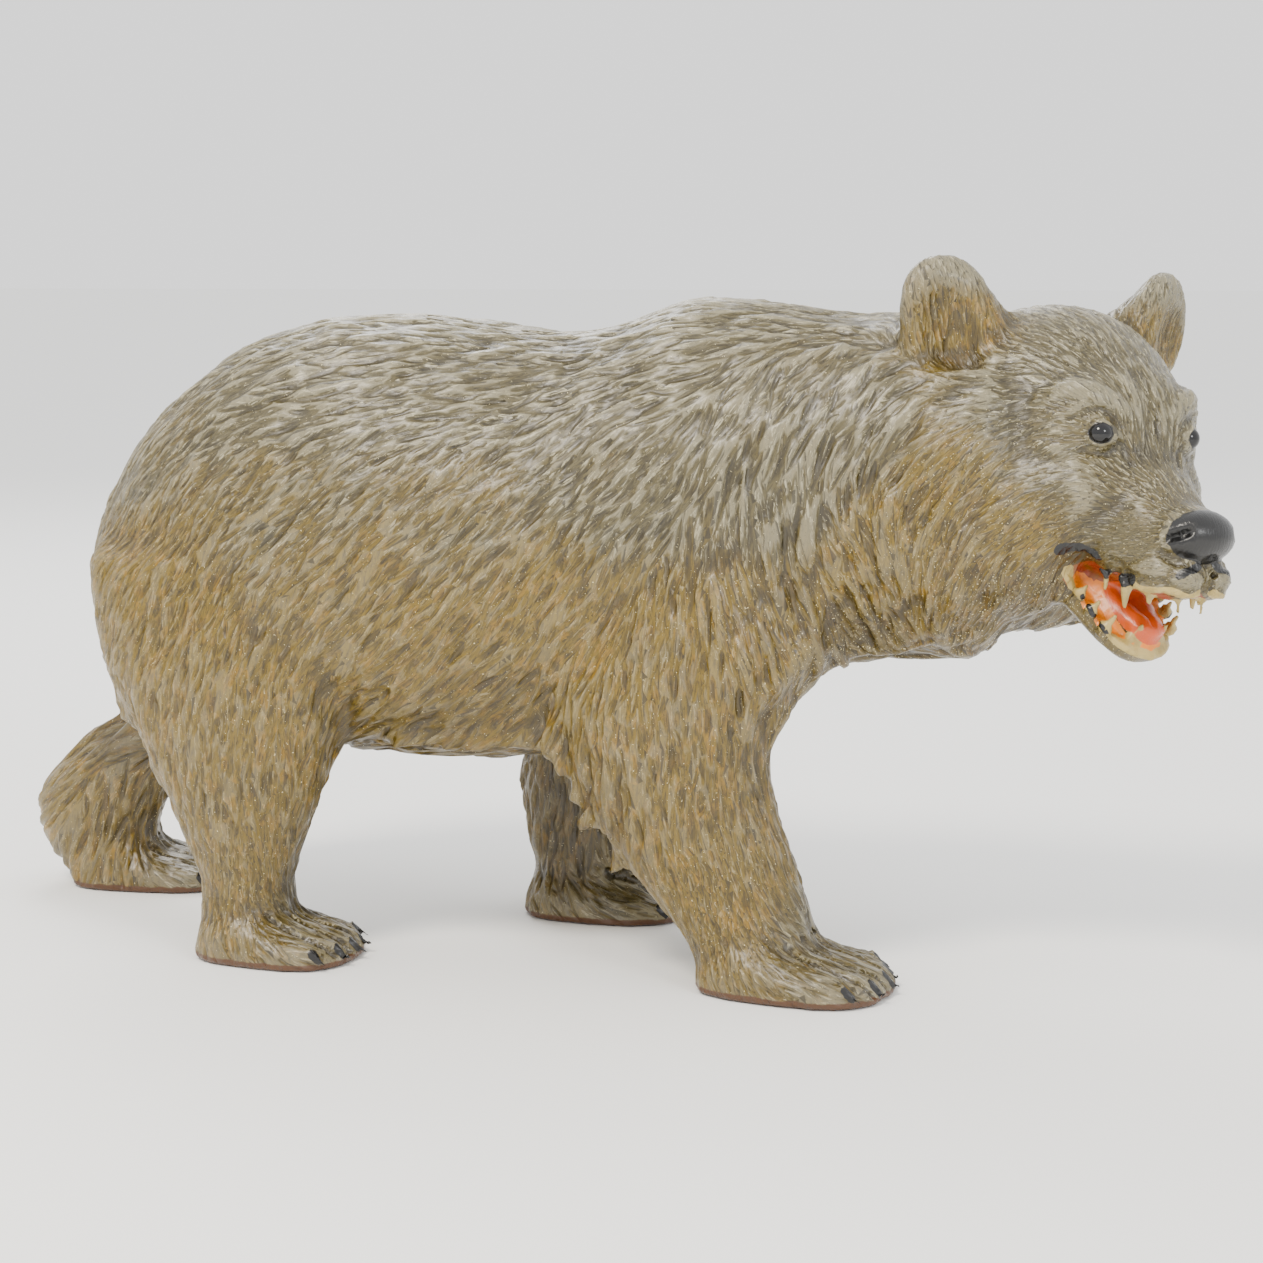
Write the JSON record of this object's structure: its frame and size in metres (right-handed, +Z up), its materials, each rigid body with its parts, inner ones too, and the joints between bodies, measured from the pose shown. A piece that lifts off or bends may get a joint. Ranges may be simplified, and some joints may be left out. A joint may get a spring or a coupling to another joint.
{
  "type": "carved wooden bear",
  "caption": "Walking bear carved in limewood, its head turned to its right with the mouth open, standing on its own flat soles.",
  "frame": {"origin": "middle of the bounding box, on the ground under the soles", "axes": "+X the way the bear walks, +Y its left side, +Z up"},
  "size_m": [0.4784, 0.1622, 0.2559],
  "materials": {
    "carved_wood": "gouge-carved limewood, stained brown with silver-grey on the back, satin varnish",
    "eye_glass": "polished black glass"
  },
  "bodies": {
    "root": {"bear": "carved_wood", "eye_left": "eye_glass", "eye_right": "eye_glass"}
  },
  "joints": []
}
